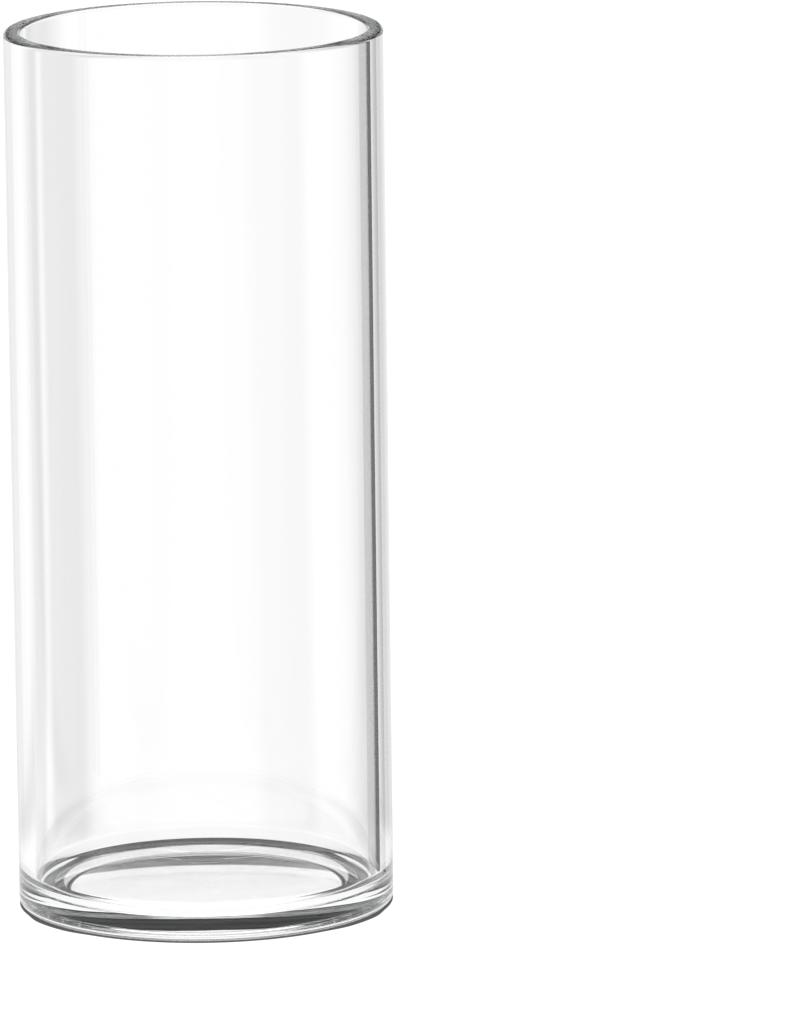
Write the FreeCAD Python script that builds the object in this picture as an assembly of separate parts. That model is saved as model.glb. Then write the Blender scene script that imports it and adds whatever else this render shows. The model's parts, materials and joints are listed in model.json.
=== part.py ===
"""Glass cylinder vase: one piece of clear soda-lime glass.

A straight round wall stands on a floor. The lip is flat, with both of its edges fire-polished round.
Inside, the wall runs into the floor in a wide radius. Under the floor a shallow recess keeps the middle
clear of the table, so the vase rests on a flat ring, the foot. The recess is a low dome, and a slope of
two arcs brings it down smoothly to the foot.

Frame: millimetres, +Z up along the vase's axis. The origin is the centre of the foot's bearing plane.
"""

import FreeCAD
import Part

import math
import os

# Driving dimensions, in millimetres
OUTER_DIAMETER = 100.0
HEIGHT = 235.0
WALL = 4.5  # thickness of the straight wall
FLOOR_HEIGHT = 5.5  # top of the floor above the table
FLOOR_CORNER_RADIUS = 5.0  # inside, where the wall runs into the floor
HEEL_RADIUS = 2.0  # outside, where the wall runs into the foot
LIP_OUTER_RADIUS = 1.2
LIP_INNER_RADIUS = 1.0
FOOT_WIDTH = 10.3  # flat bearing ring, from the heel in to the recess
RECESS_SLOPE = 1.8  # how far the recess's edge takes to rise from the foot
RECESS_STEP = 0.65  # how high that edge rises
RECESS_DOME = 0.3  # how much higher the recess is at the axis

# Worked out from the driving dimensions
OUTER_RADIUS = OUTER_DIAMETER / 2
INNER_RADIUS = OUTER_RADIUS - WALL
RECESS_RADIUS = OUTER_RADIUS - HEEL_RADIUS - FOOT_WIDTH
DOME_RADIUS = RECESS_RADIUS - RECESS_SLOPE

TOUCH = 1e-4  # how near an edge lies to the place it is looked for


def point(radius, height):
    """A point of the half section, in the XZ plane."""
    return FreeCAD.Vector(radius, 0, height)


def level_arc(level_end, far_end):
    """An arc that is level at one end and runs to the other end."""
    run = abs(far_end.x - level_end.x)
    rise = far_end.z - level_end.z
    radius = (run**2 + rise**2) / (2 * abs(rise))
    half_angle = math.asin(run / radius) / 2
    outward = math.copysign(1, far_end.x - level_end.x)
    upward = math.copysign(1, rise)
    middle = point(
        level_end.x + outward * radius * math.sin(half_angle),
        level_end.z + upward * radius * (1 - math.cos(half_angle)),
    )
    return Part.Arc(level_end, middle, far_end).toShape()


def underside_edges():
    """The recess's half section, from the foot in to the axis: two arcs of slope, then the dome."""
    foot = point(RECESS_RADIUS, 0)
    half_way = point(RECESS_RADIUS - RECESS_SLOPE / 2, RECESS_STEP / 2)
    shoulder = point(DOME_RADIUS, RECESS_STEP)
    crown = point(0, RECESS_STEP + RECESS_DOME)
    return [level_arc(foot, half_way), level_arc(shoulder, half_way), level_arc(crown, shoulder)]


def half_section():
    """The closed face that is turned about the axis, with its other corners still sharp."""
    corners = [
        point(0, RECESS_STEP + RECESS_DOME),
        point(0, FLOOR_HEIGHT),
        point(INNER_RADIUS, FLOOR_HEIGHT),
        point(INNER_RADIUS, HEIGHT),
        point(OUTER_RADIUS, HEIGHT),
        point(OUTER_RADIUS, 0),
        point(RECESS_RADIUS, 0),
    ]
    edges = [Part.LineSegment(start, end).toShape() for start, end in zip(corners, corners[1:])]
    return Part.Face(Part.Wire(edges + underside_edges()))


def ring_edge(solid, radius, height):
    """The solid's circular edge of this radius at this height."""
    rounds = [e for e in solid.Edges if not e.Degenerated and isinstance(e.Curve, Part.Circle)]
    for edge in rounds:
        circle = edge.Curve
        if abs(circle.Radius - radius) < TOUCH and abs(circle.Center.z - height) < TOUCH:
            return edge
    raise ValueError(f"no round edge of radius {radius} at height {height}")


def vase_body():
    """The whole vase, turned about its axis and then rounded, corner by corner."""
    body = half_section().revolve(point(0, 0), FreeCAD.Vector(0, 0, 1), 360)
    corners = [
        (HEEL_RADIUS, OUTER_RADIUS, 0),
        (FLOOR_CORNER_RADIUS, INNER_RADIUS, FLOOR_HEIGHT),
        (LIP_OUTER_RADIUS, OUTER_RADIUS, HEIGHT),
        (LIP_INNER_RADIUS, INNER_RADIUS, HEIGHT),
    ]
    for rounding, radius, height in corners:
        body = body.makeFillet(rounding, [ring_edge(body, radius, height)]).Solids[0]
    return body


def main():
    """Write the vase's one piece to parts/ and print what it measures."""
    os.makedirs("parts", exist_ok=True)
    body = vase_body()
    body.exportStep("parts/vase_body.step")
    box = body.optimalBoundingBox()
    print("valid", body.isValid(), body.ShapeType, len(body.Faces), "faces")
    print("size", round(box.XLength, 3), round(box.YLength, 3), round(box.ZLength, 3), "mm")
    print("glass", round(body.Volume / 1000, 1), "cm3")


main()
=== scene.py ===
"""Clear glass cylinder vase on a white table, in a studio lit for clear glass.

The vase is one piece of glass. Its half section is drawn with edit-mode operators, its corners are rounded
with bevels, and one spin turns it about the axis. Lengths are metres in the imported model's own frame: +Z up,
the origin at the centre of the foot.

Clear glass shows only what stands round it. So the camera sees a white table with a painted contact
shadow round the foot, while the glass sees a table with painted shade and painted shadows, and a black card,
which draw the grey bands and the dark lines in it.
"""

import json
import logging
import math
from collections.abc import Callable
from dataclasses import dataclass
from enum import Enum

import bmesh
import bpy
from mathutils import Matrix, Vector


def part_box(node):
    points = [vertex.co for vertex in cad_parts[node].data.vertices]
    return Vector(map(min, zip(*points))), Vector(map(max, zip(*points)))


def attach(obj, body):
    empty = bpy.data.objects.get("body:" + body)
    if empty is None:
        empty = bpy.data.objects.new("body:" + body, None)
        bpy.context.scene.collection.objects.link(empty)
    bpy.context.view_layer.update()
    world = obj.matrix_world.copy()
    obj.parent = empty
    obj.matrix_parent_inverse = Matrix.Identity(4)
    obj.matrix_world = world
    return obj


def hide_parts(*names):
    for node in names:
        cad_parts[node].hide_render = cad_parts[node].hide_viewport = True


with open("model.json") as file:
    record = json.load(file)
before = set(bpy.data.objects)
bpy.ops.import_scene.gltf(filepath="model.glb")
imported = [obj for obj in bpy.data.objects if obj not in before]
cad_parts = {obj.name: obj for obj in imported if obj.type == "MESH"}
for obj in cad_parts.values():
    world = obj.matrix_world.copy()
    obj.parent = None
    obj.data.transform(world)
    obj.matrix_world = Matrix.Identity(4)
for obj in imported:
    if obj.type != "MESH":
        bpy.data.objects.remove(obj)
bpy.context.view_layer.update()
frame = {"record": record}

LOG = logging.getLogger("vase")
MM = 0.001
VASE_NODE = "vase_body"
ROOT_BODY = "root"


class Axis(Enum):
    """The frame's three directions."""

    X = (1, 0, 0)
    Y = (0, 1, 0)
    Z = (0, 0, 1)

    @property
    def vector(self) -> Vector:
        """The direction as a vector."""
        return Vector(self.value)


class Pick(Enum):
    """What is selected in edit mode."""

    CORNERS = "VERT"
    EDGES = "EDGE"


# --- Shader trees -------------------------------------------------------------------------------------


class Wire:
    """A shader value that can be written into sums and products like a number."""

    def __init__(self, tree: "ShaderTree", socket: bpy.types.NodeSocket | None) -> None:
        """Wrap one output socket.

        Args:
            tree: the shader tree that the socket belongs to.
            socket: the output socket to wrap, or None for a node that has none.
        """
        self.tree = tree
        self.socket = socket

    def _math(self, operation: str, first: "Wire | float", second: "Wire | float") -> "Wire":
        """Add one Math node that works on two values."""
        return self.tree.node("ShaderNodeMath", {"operation": operation}, {0: first, 1: second})

    def __add__(self, other: "Wire | float") -> "Wire":
        """self + other."""
        return self._math("ADD", self, other)

    def __radd__(self, other: float) -> "Wire":
        """other + self."""
        return self._math("ADD", other, self)

    def __sub__(self, other: "Wire | float") -> "Wire":
        """self - other."""
        return self._math("SUBTRACT", self, other)

    def __rsub__(self, other: float) -> "Wire":
        """other - self."""
        return self._math("SUBTRACT", other, self)

    def __mul__(self, other: "Wire | float") -> "Wire":
        """self * other."""
        return self._math("MULTIPLY", self, other)

    def __rmul__(self, other: float) -> "Wire":
        """other * self."""
        return self._math("MULTIPLY", other, self)

    def __neg__(self) -> "Wire":
        """-self."""
        return self._math("MULTIPLY", self, -1.0)

    def __abs__(self) -> "Wire":
        """self without its sign."""
        return self._math("ABSOLUTE", self, 0.0)


class ShaderTree:
    """The node tree of one material or world."""

    def __init__(self, owner: bpy.types.Material | bpy.types.World) -> None:
        """Clear the owner's node tree and start afresh.

        Args:
            owner: the material or world to draw nodes in.
        """
        owner.use_nodes = True
        self.tree = owner.node_tree
        self.tree.nodes.clear()

    def node(self, kind: str, settings: dict | None = None, sockets: dict | None = None) -> Wire:
        """Add a node, set it up and link it.

        Args:
            kind: the node's type, such as "ShaderNodeTexNoise".
            settings: attributes of the node, set before its sockets.
            sockets: input name or index to a number, a colour or a Wire.

        Returns:
            The node's first output that is in use, or an empty wire for a node with no output.
        """
        made = self.tree.nodes.new(kind)
        for name, value in (settings or {}).items():
            setattr(made, name, value)
        for name, value in (sockets or {}).items():
            if isinstance(value, Wire):
                self.tree.links.new(value.socket, made.inputs[name])
            else:
                made.inputs[name].default_value = value
        return Wire(self, next((socket for socket in made.outputs if socket.enabled), None))

    def output_of(self, wire: Wire, name: str) -> Wire:
        """Another output of the node that a wire comes from.

        Args:
            wire: any output of the node.
            name: the name of the output wanted.

        Returns:
            That output.
        """
        return Wire(self, wire.socket.node.outputs[name])

    def part(self, vector: Wire, axis: Axis) -> Wire:
        """One coordinate of a vector.

        Args:
            vector: the vector.
            axis: which coordinate.

        Returns:
            The coordinate.
        """
        return self.output_of(self.node("ShaderNodeSeparateXYZ", None, {0: vector}), axis.name)

    def _vector_math(self, operation: str, sockets: dict) -> Wire:
        """Add one Vector Math node."""
        return self.node("ShaderNodeVectorMath", {"operation": operation}, sockets)

    def radius(self, place: Wire) -> Wire:
        """A place's distance from the Z axis."""
        flat = self._vector_math("MULTIPLY", {0: place, 1: (1, 1, 0)})
        return self.output_of(self._vector_math("LENGTH", {0: flat}), "Value")

    def radius_from(self, place: Wire, centre: tuple[float, float, float]) -> Wire:
        """A place's level distance from a centre."""
        return self.radius(self._vector_math("SUBTRACT", {0: place, 1: centre}))

    def object_place(self) -> Wire:
        """The point's place in the object's own frame, in metres."""
        return self.output_of(self.node("ShaderNodeTexCoord"), "Object")

    def stretched(self, place: Wire, scale: tuple[float, float, float]) -> Wire:
        """A place scaled axis by axis, to draw a pattern out along one of them.

        Args:
            place: the place to scale.
            scale: the factors along X, Y and Z.

        Returns:
            The scaled place.
        """
        return self.node("ShaderNodeMapping", {"vector_type": "POINT"}, {"Vector": place, "Scale": scale})

    def noise(self, place: Wire, scale: float, detail: float, roughness: float) -> Wire:
        """Smooth noise about 0.5.

        Args:
            place: where it is read.
            scale: how many blotches go into a metre.
            detail: the number of finer layers.
            roughness: how strong each finer layer is.

        Returns:
            The noise's value.
        """
        sockets = {"Vector": place, "Scale": scale, "Detail": detail, "Roughness": roughness}
        return self.node("ShaderNodeTexNoise", {"noise_dimensions": "3D"}, sockets)

    def between(self, value: Wire, low: float, high: float) -> Wire:
        """A smooth step that is 0 at low and 1 at high.

        Args:
            value: what is compared.
            low: where the step starts.
            high: where it ends.

        Returns:
            The step's value.
        """
        sockets = {"Value": value, "From Min": low, "From Max": high}
        return self.node("ShaderNodeMapRange", {"interpolation_type": "SMOOTHSTEP", "clamp": True}, sockets)


# --- Finishes -----------------------------------------------------------------------------------------


@dataclass(frozen=True)
class Patches:
    """Soft-edged patches, cut out of smooth noise."""

    scale: float  # how many blotches go into a metre
    detail: float  # the number of finer layers
    roughness: float  # how strong each finer layer is
    bare_below: float  # noise up to this leaves the surface bare
    full_above: float  # noise from here on has the patch's full strength

    def pattern(self, tree: ShaderTree, place: Wire) -> Wire:
        """Where the patches are, from 0 to 1.

        Args:
            tree: the shader tree to draw them in.
            place: where they are read.

        Returns:
            The patches' strength.
        """
        noise = tree.noise(place, self.scale, self.detail, self.roughness)
        return tree.between(noise, self.bare_below, self.full_above)


@dataclass(frozen=True)
class ClearGlass:
    """Colourless soda-lime glass, fire-polished, with the marks that forming and use leave on it."""

    vase_height: float
    ior: float = 1.5
    tint: tuple[float, float, float, float] = (0.84, 0.93, 0.90, 1.0)
    tint_per_metre: float = 1.0
    smudge: float = 0.012  # roughness that handling adds in patches
    smudges: Patches = Patches(scale=22.0, detail=4.0, roughness=0.62, bare_below=0.56, full_above=0.80)
    lip_haze: float = 0.12  # roughness that grinding and polishing leaves on the lip
    lip_haze_starts: float = 1.4 * MM  # how far below the top it sets in
    lip_haze_full: float = 0.2 * MM  # and how far below the top it is full
    foot_scuff: float = 0.22  # roughness that standing on tables leaves under the foot
    foot_scuff_ends: tuple[float, float] = (0.01 * MM, 0.12 * MM)  # heights over which it ends
    scuffs: Patches = Patches(scale=700.0, detail=3.0, roughness=0.7, bare_below=0.55, full_above=0.75)
    ripple_depth: float = 0.03 * MM
    ripple_detail: float = 1.0
    ripple_roughness: float = 0.4
    draw_lines_scale: float = 70.0  # lines to the metre, round the wall
    draw_lines_length: float = 0.06  # how much slower they change up the wall
    draw_lines_share: float = 0.8
    dimples_scale: float = 60.0  # dimples to the metre
    dimples_share: float = 0.2

    def _roughness(self, tree: ShaderTree, place: Wire) -> Wire:
        """Polished walls with faint smudges, a hazier lip and a scuffed foot.

        Args:
            tree: the glass's shader tree.
            place: the point in the vase's frame.

        Returns:
            The roughness.
        """
        height = tree.part(place, Axis.Z)
        top = self.vase_height
        lip = tree.between(height, top - self.lip_haze_starts, top - self.lip_haze_full)
        foot = 1 - tree.between(height, *self.foot_scuff_ends)
        smudges = self.smudges.pattern(tree, place)
        scuffs = foot * self.scuffs.pattern(tree, place)
        return smudges * self.smudge + lip * self.lip_haze + scuffs * self.foot_scuff

    def _ripple(self, tree: ShaderTree, place: Wire) -> Wire:
        """The slow unevenness of drawn glass, long up the wall and short round it.

        Args:
            tree: the glass's shader tree.
            place: the point in the vase's frame.

        Returns:
            The bent normal.
        """
        finer = (self.ripple_detail, self.ripple_roughness)
        along = tree.stretched(place, (1.0, 1.0, self.draw_lines_length))
        draw_lines = tree.noise(along, self.draw_lines_scale, *finer)
        dimples = tree.noise(place, self.dimples_scale, *finer)
        height = draw_lines * self.draw_lines_share + dimples * self.dimples_share
        sockets = {"Strength": 1.0, "Distance": self.ripple_depth, "Height": height}
        return tree.node("ShaderNodeBump", None, sockets)

    def material(self) -> bpy.types.Material:
        """Draw the glass.

        Returns:
            The material.
        """
        glass = bpy.data.materials.new("clear_glass")
        tree = ShaderTree(glass)
        place = tree.object_place()
        surface = tree.node(
            "ShaderNodeBsdfPrincipled",
            None,
            {
                "Base Color": (1.0, 1.0, 1.0, 1.0),
                "Transmission Weight": 1.0,
                "IOR": self.ior,
                "Roughness": self._roughness(tree, place),
                "Normal": self._ripple(tree, place),
            },
        )
        absorbed = {"Color": self.tint, "Density": self.tint_per_metre}
        volume = tree.node("ShaderNodeVolumeAbsorption", None, absorbed)
        tree.node("ShaderNodeOutputMaterial", None, {"Surface": surface, "Volume": volume})
        return glass


@dataclass(frozen=True)
class Glow:
    """A surface that shines evenly or in a pattern, and isn't sampled as a lamp."""

    name: str

    def pattern(self, tree: ShaderTree) -> Wire | tuple[float, float, float, float]:
        """The light over the surface.

        Args:
            tree: the surface's shader tree.

        Returns:
            One colour, or a brightness that varies.
        """
        raise NotImplementedError

    def material(self) -> bpy.types.Material:
        """Draw the surface.

        Returns:
            The material.
        """
        surface = bpy.data.materials.new(self.name)
        tree = ShaderTree(surface)
        light = tree.node("ShaderNodeEmission", None, {"Color": self.pattern(tree)})
        tree.node("ShaderNodeOutputMaterial", None, {"Surface": light})
        surface.cycles.emission_sampling = "NONE"
        return surface


@dataclass(frozen=True)
class LitTable(Glow):
    """White acrylic lit from below, so that nothing on it throws a shadow.

    A painted contact shadow runs round the vase's foot as a dark line.
    """

    foot_radius: float
    white: float = 1.12
    contact_shadow: float = 0.9  # how much of the light the painted contact shadow takes
    contact_shadow_reach: float = 2.05 * MM  # how far beyond the flat foot it reaches
    contact_shadow_corner: float = 0.75 * MM  # how much further it reaches at the front's two sides
    contact_shadow_fade: float = 0.4 * MM  # over which it ends
    corner_aside: tuple[float, float] = (0.62, 0.8)  # foot radii to the side over which the corner sets in
    corner_ahead: tuple[float, float] = (0.3, 0.5)  # foot radii to the front over which it sets in

    def pattern(self, tree: ShaderTree) -> Wire:
        """White, but for the painted contact shadow where the vase stands.

        Args:
            tree: the table's shader tree.

        Returns:
            The brightness over the table.
        """
        place = tree.object_place()
        sideways = (share * self.foot_radius for share in self.corner_aside)
        forwards = (share * self.foot_radius for share in self.corner_ahead)
        aside = tree.between(abs(tree.part(place, Axis.X)), *sideways)
        ahead = tree.between(-tree.part(place, Axis.Y), *forwards)
        gap = tree.radius(place) - aside * ahead * self.contact_shadow_corner
        end = self.foot_radius + self.contact_shadow_reach
        # painted contact shadow: a dark line round the foot, reaching further at the front's two sides
        line = 1 - tree.between(gap, end - self.contact_shadow_fade, end)
        return self.white * (1 - line * self.contact_shadow)


@dataclass(frozen=True)
class Shade:
    """A soft grey wedge of painted shade on the table behind the vase, which its wall draws out into an
    upright band.

    Each wedge lies on the table four times, a quarter turn apart, so that the wall has bands from every
    side. The three copies are fainter.
    """

    tip: tuple[float, float]  # X and Y of the point that it opens from
    start: float  # degrees from straight behind the tip, to the right
    end: float
    depth: float
    soft: float = 1.0  # degrees over which each side fades
    fade_in: tuple[float, float] = (40 * MM, 100 * MM)  # how far behind the vase's axis it sets in

    def pattern(self, tree: ShaderTree, place: Wire, share: float) -> Wire:
        """How much light is left, from 1 outside the wedge down to 1 - depth.

        Args:
            tree: the surface's shader tree.
            place: the point on the table.
            share: how much of its depth the wedge has here.

        Returns:
            The share of light.
        """
        across = tree.part(place, Axis.X) - self.tip[0]
        behind = tree.part(place, Axis.Y) - self.tip[1]
        angle = tree.node("ShaderNodeMath", {"operation": "ARCTAN2"}, {0: across, 1: behind})
        start, end, soft = (math.radians(value) for value in (self.start, self.end, self.soft))
        # painted shade inside the wedge
        inside = tree.between(angle, start - soft, start) - tree.between(angle, end, end + soft)
        beyond = tree.between(tree.part(place, Axis.Y), *self.fade_in)
        return 1 - inside * beyond * (self.depth * share)


@dataclass(frozen=True)
class TableInGlass(Glow):
    """The table as the glass sees it.

    A lamp lies under the recess with painted shade beside it, a painted shadow as a dark ring round the
    recess's back and sides, and soft wedges of painted shade further off.
    """

    recess_radius: float
    shades: tuple[Shade, ...]
    white: float = 1.01
    lamp: float = 1.6  # brightness over the lamp under the recess
    lamp_place: tuple[float, float, float] = (0.0, -33 * MM, 0.0)
    lamp_radius: float = 59 * MM
    lamp_edge: float = 1.0 * MM  # how far its edge fades each way
    shade_beside_lamp: float = 0.28  # painted shade: brightness under the rest of the recess
    ring: float = 0.05  # painted shadow: brightness of the dark ring that shows round the floor's far side
    shadow_ring_place: tuple[float, float, float] = (0.0, 9.5 * MM, 0.0)
    shadow_ring_radii: tuple[float, float] = (39 * MM, 45 * MM)
    shadow_ring_front: tuple[float, float] = (-26 * MM, -16 * MM)  # Y over which the ring sets in
    edge: float = 0.5 * MM  # over which the recess's edge and the ring's edges fade
    turns: int = 4  # how often the wedges lie round the vase
    copies: float = 0.45  # how strong they are after the first time

    def _under_vase(self, tree: ShaderTree, place: Wire) -> Wire:
        """The lamp under the recess, painted shade under the rest of it, and the plain white round it.

        Args:
            tree: the table's shader tree.
            place: the point on the table.

        Returns:
            The brightness.
        """
        near, far = self.lamp_radius - self.lamp_edge, self.lamp_radius + self.lamp_edge
        off_lamp = tree.between(tree.radius_from(place, self.lamp_place), near, far)
        # painted shade under the recess beside the lamp
        recess = self.lamp + off_lamp * (self.shade_beside_lamp - self.lamp)
        under_foot = tree.between(tree.radius(place), self.recess_radius - self.edge, self.recess_radius)
        return recess + under_foot * (self.white - recess)

    def _shadow_ring(self, tree: ShaderTree, place: Wire) -> Wire:
        """Where the painted shadow ring is, which is open towards the front.

        Args:
            tree: the table's shader tree.
            place: the point on the table.

        Returns:
            1 in the ring and 0 outside it.
        """
        inner, outer = self.shadow_ring_radii
        reach = tree.radius_from(place, self.shadow_ring_place)
        ring = tree.between(reach, inner - self.edge, inner) - tree.between(reach, outer, outer + self.edge)
        return ring * tree.between(tree.part(place, Axis.Y), *self.shadow_ring_front)

    def pattern(self, tree: ShaderTree) -> Wire:
        """The lamp, the painted shadow ring and the wedges of painted shade over them.

        Args:
            tree: the table's shader tree.

        Returns:
            The brightness over the table.
        """
        place = tree.object_place()
        glow = self._under_vase(tree, place)
        # painted shadow: the dark ring round the recess's back and sides
        glow = glow + self._shadow_ring(tree, place) * (self.ring - glow)
        wedges = 1.0
        for turn in range(self.turns):
            sockets = {"Vector": place, "Angle": turn * math.tau / self.turns}
            turned = tree.node("ShaderNodeVectorRotate", {"rotation_type": "Z_AXIS"}, sockets)
            share = self.copies if turn else 1.0
            for shade in self.shades:
                wedges = shade.pattern(tree, turned, share) * wedges
        return glow * wedges


@dataclass(frozen=True)
class Black(Glow):
    """Black card."""

    depth: float = 0.1

    def pattern(self, tree: ShaderTree) -> tuple[float, float, float, float]:
        """The little that black card gives back."""
        return (self.depth, self.depth, self.depth, 1.0)


# --- Modelling ----------------------------------------------------------------------------------------


class Workpiece:
    """A half section being drawn in edit mode. Operators work on what was selected by its place."""

    NEAR = 1e-6  # how near a vertex lies to the place it is looked for
    ARC = 0.5  # the bevel profile that is a plain arc
    FACE_WEIGHT = 100  # large faces set the normals, so a flat stretch shades flat up to the round beside it

    def __init__(self, name: str, width: float, height: float) -> None:
        """Start from a rectangle that stands on the table with one side on the axis.

        Args:
            name: the finished piece's name.
            width: how far the rectangle reaches from the axis.
            height: how tall it is.
        """
        bpy.ops.object.select_all(action="DESELECT")
        centre = (width / 2, 0, height / 2)
        bpy.ops.mesh.primitive_plane_add(size=1, location=centre, rotation=(math.pi / 2, 0, 0))
        bpy.ops.object.transform_apply(location=True, rotation=True, scale=True)
        self.object = bpy.context.active_object
        self.object.name = self.object.data.name = name
        bpy.ops.object.mode_set(mode="EDIT")
        bpy.ops.mesh.select_all(action="SELECT")
        bpy.ops.transform.resize(value=(width, 1, height), center_override=centre)

    def select(self, test: Callable[[Vector], bool], what: Pick = Pick.EDGES) -> None:
        """Select the corners that pass a test, or the edges whose ends both do.

        Args:
            test: says whether a place counts.
            what: corners or edges.
        """
        bpy.ops.mesh.select_mode(type=what.value)
        bpy.ops.mesh.select_all(action="DESELECT")
        mesh = bmesh.from_edit_mesh(self.object.data)
        for item in mesh.verts if what is Pick.CORNERS else mesh.edges:
            ends = [item] if what is Pick.CORNERS else item.verts
            item.select_set(all(test(end.co) for end in ends))
        bmesh.update_edit_mesh(self.object.data)

    def at(self, radius: float, height: float) -> Callable[[Vector], bool]:
        """A test for the place at a radius and a height."""
        return lambda place: math.hypot(place.x - radius, place.z - height) < self.NEAR

    def along(self, inner: float, outer: float, height: float) -> Callable[[Vector], bool]:
        """A test for places between two radii at a height."""
        near = self.NEAR
        return lambda place: inner - near < place.x < outer + near and abs(place.z - height) < near

    def cut(self, *radii: float) -> None:
        """Cut the whole section with upright lines.

        Args:
            radii: how far each line stands from the axis.
        """
        for radius in radii:
            bpy.ops.mesh.select_all(action="SELECT")
            bpy.ops.mesh.bisect(plane_co=(radius, 0, 0), plane_no=Axis.X.vector)

    def pull_up(self, test: Callable[[Vector], bool], rise: float) -> None:
        """Extrude edges straight up.

        Args:
            test: says which places the edges lie at.
            rise: how far.
        """
        self.select(test)
        bpy.ops.mesh.extrude_region_move(TRANSFORM_OT_translate={"value": Axis.Z.vector * rise})

    def join_faces(self) -> None:
        """Dissolve what lies inside the section, so that only its corners are left."""
        bpy.ops.mesh.select_all(action="SELECT")
        bpy.ops.mesh.dissolve_limited()

    def divide(self, test: Callable[[Vector], bool], cuts: int) -> None:
        """Cut the edges at a place into equal stretches.

        Args:
            test: says which places the edges lie at.
            cuts: how many cuts each edge gets.
        """
        self.select(test)
        bpy.ops.mesh.subdivide(number_cuts=cuts)

    def lift(self, test: Callable[[Vector], bool], height_at: Callable[[float], float]) -> None:
        """Move vertices up, one by one, onto a curve.

        Args:
            test: says which vertices are moved.
            height_at: the curve's height at a radius.
        """
        mesh = bmesh.from_edit_mesh(self.object.data)
        places = [vertex.co.copy() for vertex in mesh.verts if test(vertex.co)]
        for place in places:
            self.select(self.at(place.x, place.z), Pick.CORNERS)
            rise = height_at(place.x) - place.z
            bpy.ops.transform.translate(value=Axis.Z.vector * rise)

    def round_corner(self, radius: float, height: float, rounding: float, segments: int) -> None:
        """Round one corner of the section.

        Args:
            radius: the corner's distance from the axis.
            height: its height.
            rounding: the radius of the round.
            segments: how many edges the round gets.
        """
        self.select(self.at(radius, height), Pick.CORNERS)
        bpy.ops.mesh.bevel(offset=rounding, segments=segments, affect="VERTICES", profile=self.ARC)

    def open_outline(self, *cuts: float) -> None:
        """Leave only the section's outline, open along the axis.

        Args:
            cuts: the radii of the upright lines that cross the section.
        """
        bpy.ops.mesh.select_all(action="SELECT")
        bpy.ops.mesh.delete(type="ONLY_FACE")
        for radius in (0, *cuts):
            self.select(lambda place: abs(place.x - radius) < self.NEAR)
            bpy.ops.mesh.delete(type="EDGE")

    def turn(self, steps: int) -> bpy.types.Object:
        """Turn the outline once round the axis and close the mesh.

        Args:
            steps: how many steps the full turn takes.

        Returns:
            The finished object.
        """
        bpy.ops.mesh.select_all(action="SELECT")
        bpy.ops.mesh.spin(steps=steps, angle=math.tau, center=(0, 0, 0), axis=Axis.Z.vector)
        bpy.ops.mesh.select_all(action="SELECT")
        bpy.ops.mesh.remove_doubles(threshold=self.NEAR)
        bpy.ops.mesh.normals_make_consistent(inside=False)
        bpy.ops.object.mode_set(mode="OBJECT")
        bpy.ops.object.shade_smooth()
        bpy.ops.object.modifier_add(type="WEIGHTED_NORMAL")
        weigh = self.object.modifiers[-1]
        weigh.mode = "FACE_AREA"
        weigh.weight = self.FACE_WEIGHT
        bpy.ops.object.modifier_apply(modifier=weigh.name)
        return self.object


# --- The vase -----------------------------------------------------------------------------------------


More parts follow.
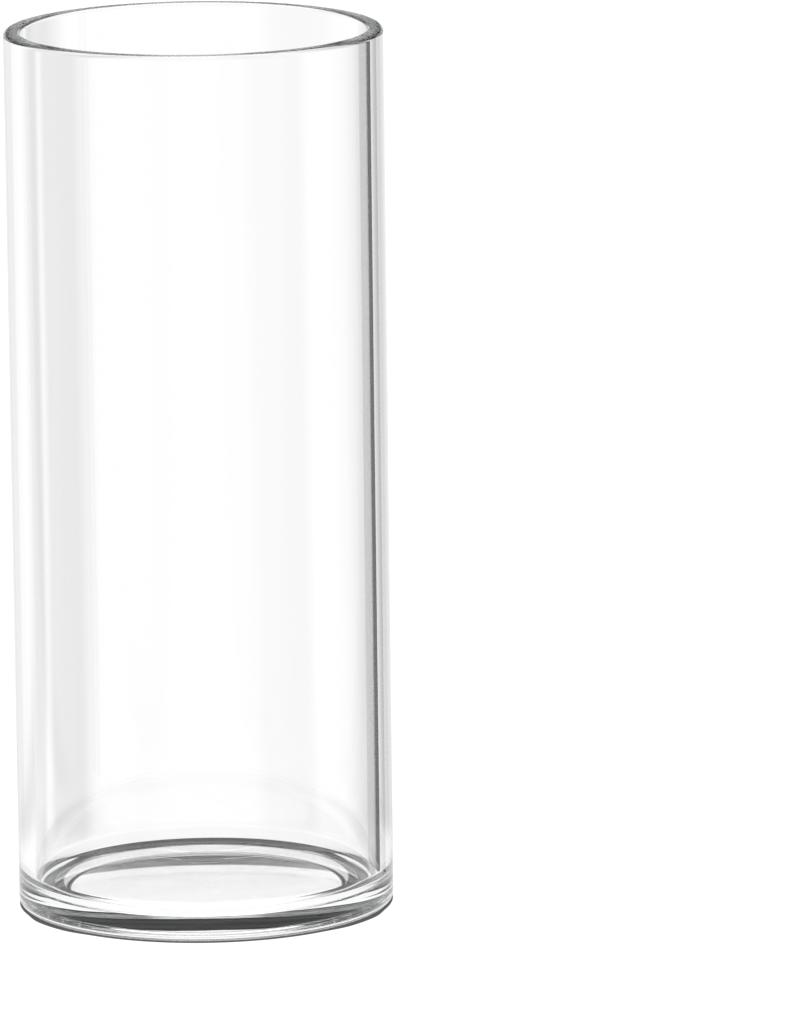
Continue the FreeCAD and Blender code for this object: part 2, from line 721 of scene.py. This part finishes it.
@dataclass
class GlassBody:
    """The vase itself: wall, floor, lip and foot, in one piece."""

    outer_radius: float
    height: float
    inner_radius: float
    floor_height: float = 5.5 * MM
    floor_corner: float = 5.0 * MM  # radius inside, where the wall runs into the floor
    heel: float = 2.0 * MM  # radius outside, where the wall runs into the foot
    lip_outer: float = 1.2 * MM
    lip_inner: float = 1.0 * MM
    foot_width: float = 10.3 * MM
    recess_slope: float = 1.8 * MM  # how far the recess's edge takes to rise from the foot
    recess_step: float = 0.65 * MM  # how high that edge rises
    recess_crown: float = 0.95 * MM  # the recess's height at the axis
    corner_segments: int = 16
    lip_segments: int = 8
    dome_segments: int = 20
    slope_segments: int = 12
    turn_steps: int = 360

    @property
    def recess_radius(self) -> float:
        """Where the flat foot ends and the recess starts."""
        return self.outer_radius - self.heel - self.foot_width

    @property
    def dome_radius(self) -> float:
        """Where the recess's slope ends and its dome starts."""
        return self.recess_radius - self.recess_slope

    def underside(self, radius: float) -> float:
        """The recess's height above the table: a dome, then two arcs down to the foot.

        Args:
            radius: distance from the axis.

        Returns:
            The height.
        """
        if radius <= self.dome_radius:
            rise = self.recess_crown - self.recess_step
            ball = (self.dome_radius**2 + rise**2) / (2 * rise)
            return self.recess_crown - ball + math.sqrt(ball**2 - radius**2)
        run, drop = self.recess_slope / 2, self.recess_step / 2
        arc = (run**2 + drop**2) / (2 * drop)
        out = radius - self.dome_radius
        if out <= run:
            return self.recess_step - arc + math.sqrt(arc**2 - out**2)
        return arc - math.sqrt(arc**2 - (self.recess_slope - out) ** 2)

    def _half_section(self) -> Workpiece:
        """Draw the half section, shape its underside and round its corners.

        Returns:
            The section's outline, still in edit mode.
        """
        piece = Workpiece(VASE_NODE + "_glass", self.outer_radius, self.floor_height)
        piece.cut(self.inner_radius)
        under_wall = piece.along(self.inner_radius, self.outer_radius, self.floor_height)
        piece.pull_up(under_wall, self.height - self.floor_height)
        piece.join_faces()
        cuts = (self.dome_radius, self.recess_radius)
        piece.cut(*cuts)
        piece.divide(piece.along(0, self.dome_radius, 0), self.dome_segments - 1)
        piece.divide(piece.along(*cuts, 0), self.slope_segments - 1)
        piece.lift(piece.along(0, self.recess_radius - piece.NEAR * 2, 0), self.underside)
        piece.round_corner(self.outer_radius, 0, self.heel, self.corner_segments)
        piece.round_corner(self.inner_radius, self.floor_height, self.floor_corner, self.corner_segments)
        piece.round_corner(self.outer_radius, self.height, self.lip_outer, self.lip_segments)
        piece.round_corner(self.inner_radius, self.height, self.lip_inner, self.lip_segments)
        piece.open_outline(*cuts)
        return piece

    def build(self, finish: ClearGlass) -> bpy.types.Object:
        """Model the glass, dress it and put it in the CAD body's place.

        Args:
            finish: the glass.

        Returns:
            The finished piece.
        """
        glass = self._half_section().turn(self.turn_steps)
        glass.data.materials.append(finish.material())
        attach(glass, ROOT_BODY)
        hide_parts(VASE_NODE)
        return glass


# --- The studio ---------------------------------------------------------------------------------------


@dataclass(frozen=True)
class Sheet:
    """A flat sheet of the studio: the table, or a card that only the glass sees."""

    name: str
    centre: tuple[float, float, float]
    width: float
    length: float  # upright, its height
    upright: bool = False
    facing: float = 0.0  # degrees from +X that an upright card's face looks
    only_glass_sees: bool = False

    def build(self, finish: Glow) -> bpy.types.Object:
        """Put the sheet in its place.

        Args:
            finish: what it shines like.

        Returns:
            The sheet.
        """
        bpy.ops.object.select_all(action="DESELECT")
        bpy.ops.mesh.primitive_plane_add(size=1)
        sheet = bpy.context.active_object
        sheet.name = self.name
        sheet.scale = (self.width, self.length, 1)
        bpy.ops.object.transform_apply(location=False, rotation=False, scale=True)
        sheet.location = self.centre
        if self.upright:
            sheet.rotation_euler = (math.pi / 2, 0, math.radians(self.facing + 90))
        if self.only_glass_sees:
            sheet.visible_camera = sheet.visible_diffuse = sheet.visible_shadow = False
        sheet.data.materials.append(finish.material())
        return sheet


@dataclass(frozen=True)
class Surround:
    """The room's light by height: a bright horizon, dark, a lamp bank behind the vase and a dim ceiling."""

    horizon: float = 1.1
    dark: float = 0.0
    bank: float = 1.6
    ceiling: float = 0.5
    dark_from: tuple[float, float] = (4.0, 8.0)  # degrees up over which the glow at the horizon ends
    bank_from: tuple[float, float] = (42.0, 46.0)  # degrees up over which the lamp bank starts
    bank_to: tuple[float, float] = (68.0, 74.0)  # degrees up over which it gives way to the ceiling
    behind: tuple[float, float] = (-0.1, 0.2)  # Y of the way looked, over which the bank sets in

    def build(self) -> None:
        """Light the room."""
        world = bpy.data.worlds.new("studio")
        bpy.context.scene.world = world
        tree = ShaderTree(world)
        way = tree.node("ShaderNodeTexCoord")
        rise = tree.part(way, Axis.Z)
        bank = tree.between(tree.part(way, Axis.Y), *self.behind) * self.bank
        levels = [self.horizon, self.dark, bank, self.ceiling]
        steps = (self.dark_from, self.bank_from, self.bank_to)
        strength = levels[0]
        for below, above, step in zip(levels, levels[1:], steps):
            low, high = (math.sin(math.radians(angle)) for angle in step)
            strength = tree.between(rise, low, high) * (above - below) + strength
        light = tree.node("ShaderNodeBackground", None, {"Color": strength})
        tree.node("ShaderNodeOutputWorld", None, {"Surface": light})


@dataclass(frozen=True)
class View:
    """The camera in front of the vase, a little above it, with a long lens."""

    distance: float = 2.64  # metres in front of the vase's axis
    height: float = 0.6307  # metres above the table
    yaw: float = 1.162  # degrees to the right of the vase's axis
    pitch: float = 11.27  # degrees down
    roll: float = -0.65  # degrees
    lens: float = 356.65  # millimetres, on a 36 mm sensor
    reach: float = 30.0  # metres
    bounces: int = 96  # light in the lip runs far down the wall between its two faces

    def build(self) -> None:
        """Set the camera up and let light pass through the glass as often as it needs."""
        yaw, pitch = math.radians(self.yaw), math.radians(self.pitch)
        ahead = Vector((math.sin(yaw) * math.cos(pitch), math.cos(yaw) * math.cos(pitch), -math.sin(pitch)))
        level = Vector((math.cos(yaw), -math.sin(yaw), 0))
        lean = Matrix.Rotation(math.radians(self.roll), 3, -ahead)
        right, up = lean @ level, lean @ level.cross(ahead)
        placed = Matrix((right, up, -ahead)).transposed().to_4x4()
        placed.translation = (0, -self.distance, self.height)
        bpy.ops.object.camera_add()
        camera = bpy.context.active_object
        camera.matrix_world = placed
        camera.data.lens = self.lens
        camera.data.clip_end = self.reach
        scene = bpy.context.scene
        scene.camera = camera
        scene.view_settings.view_transform = "Standard"
        scene.cycles.max_bounces = self.bounces
        scene.cycles.transmission_bounces = scene.cycles.glossy_bounces = self.bounces
        scene.cycles.blur_glossy = 0
        scene.cycles.sample_clamp_indirect = 0


@dataclass
class Studio:
    """The lit table and what stands round the vase."""

    vase: GlassBody
    table_size: float = 14.0  # metres
    gap: float = 0.05 * MM  # between the foot, the table that the glass sees and the table under it
    flag_place: tuple[float, float, float] = (80 * MM, 15.4 * MM, 120 * MM)
    flag_width: float = 24 * MM
    flag_height: float = 238 * MM
    flag_facing: float = -88.4  # degrees from +X

    def shades(self) -> tuple[Shade, ...]:
        """The wedges of painted shade on the table, from left to right.

        Returns:
            The wedges.
        """
        return (
            Shade(tip=(-45 * MM, -10 * MM), start=-22, end=-14, depth=0.22, soft=3.0),
            Shade(tip=(-25 * MM, -88 * MM), start=-9.5, end=-5.5, depth=0.22, soft=2.5),
            Shade(tip=(9 * MM, -324 * MM), start=1.7, end=3.5, depth=0.06, soft=0.8),
            Shade(tip=(32 * MM, -31 * MM), start=20, end=25, depth=0.42, soft=13.0),
        )

    def build(self) -> None:
        """Set the studio up."""
        size = self.table_size
        table = Sheet("table", (0, 0, -2 * self.gap), size, size)
        table.build(LitTable("lit_table", self.vase.outer_radius - self.vase.heel))
        seen = Sheet("table_in_glass", (0, 0, -self.gap), size, size, only_glass_sees=True)
        seen.build(TableInGlass("table_in_glass", self.vase.recess_radius, self.shades()))
        flag = Sheet(
            "right_flag",
            self.flag_place,
            self.flag_width,
            self.flag_height,
            upright=True,
            facing=self.flag_facing,
            only_glass_sees=True,
        )
        flag.build(Black("black_card"))
        Surround().build()
        View().build()


def bore_radius() -> float:
    """Read the inside radius that the record gives for the mouth.

    Returns:
        The radius, in metres.
    """
    mounts = frame["record"]["mounts"]
    mouth = next(mount for mount in mounts if mount["name"] == "mouth_bore")
    return mouth["dims"]["r_mm"] * MM


def main() -> None:
    """Build everything, in order."""
    logging.basicConfig(level=logging.INFO, format="%(name)s: %(message)s")
    low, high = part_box(VASE_NODE)
    body = GlassBody(outer_radius=high[0], height=high[2], inner_radius=bore_radius())
    glass = body.build(ClearGlass(vase_height=body.height))
    LOG.info("%s: %d faces", glass.name, len(glass.data.polygons))
    Studio(body).build()


if __name__ == "__main__":
    main()
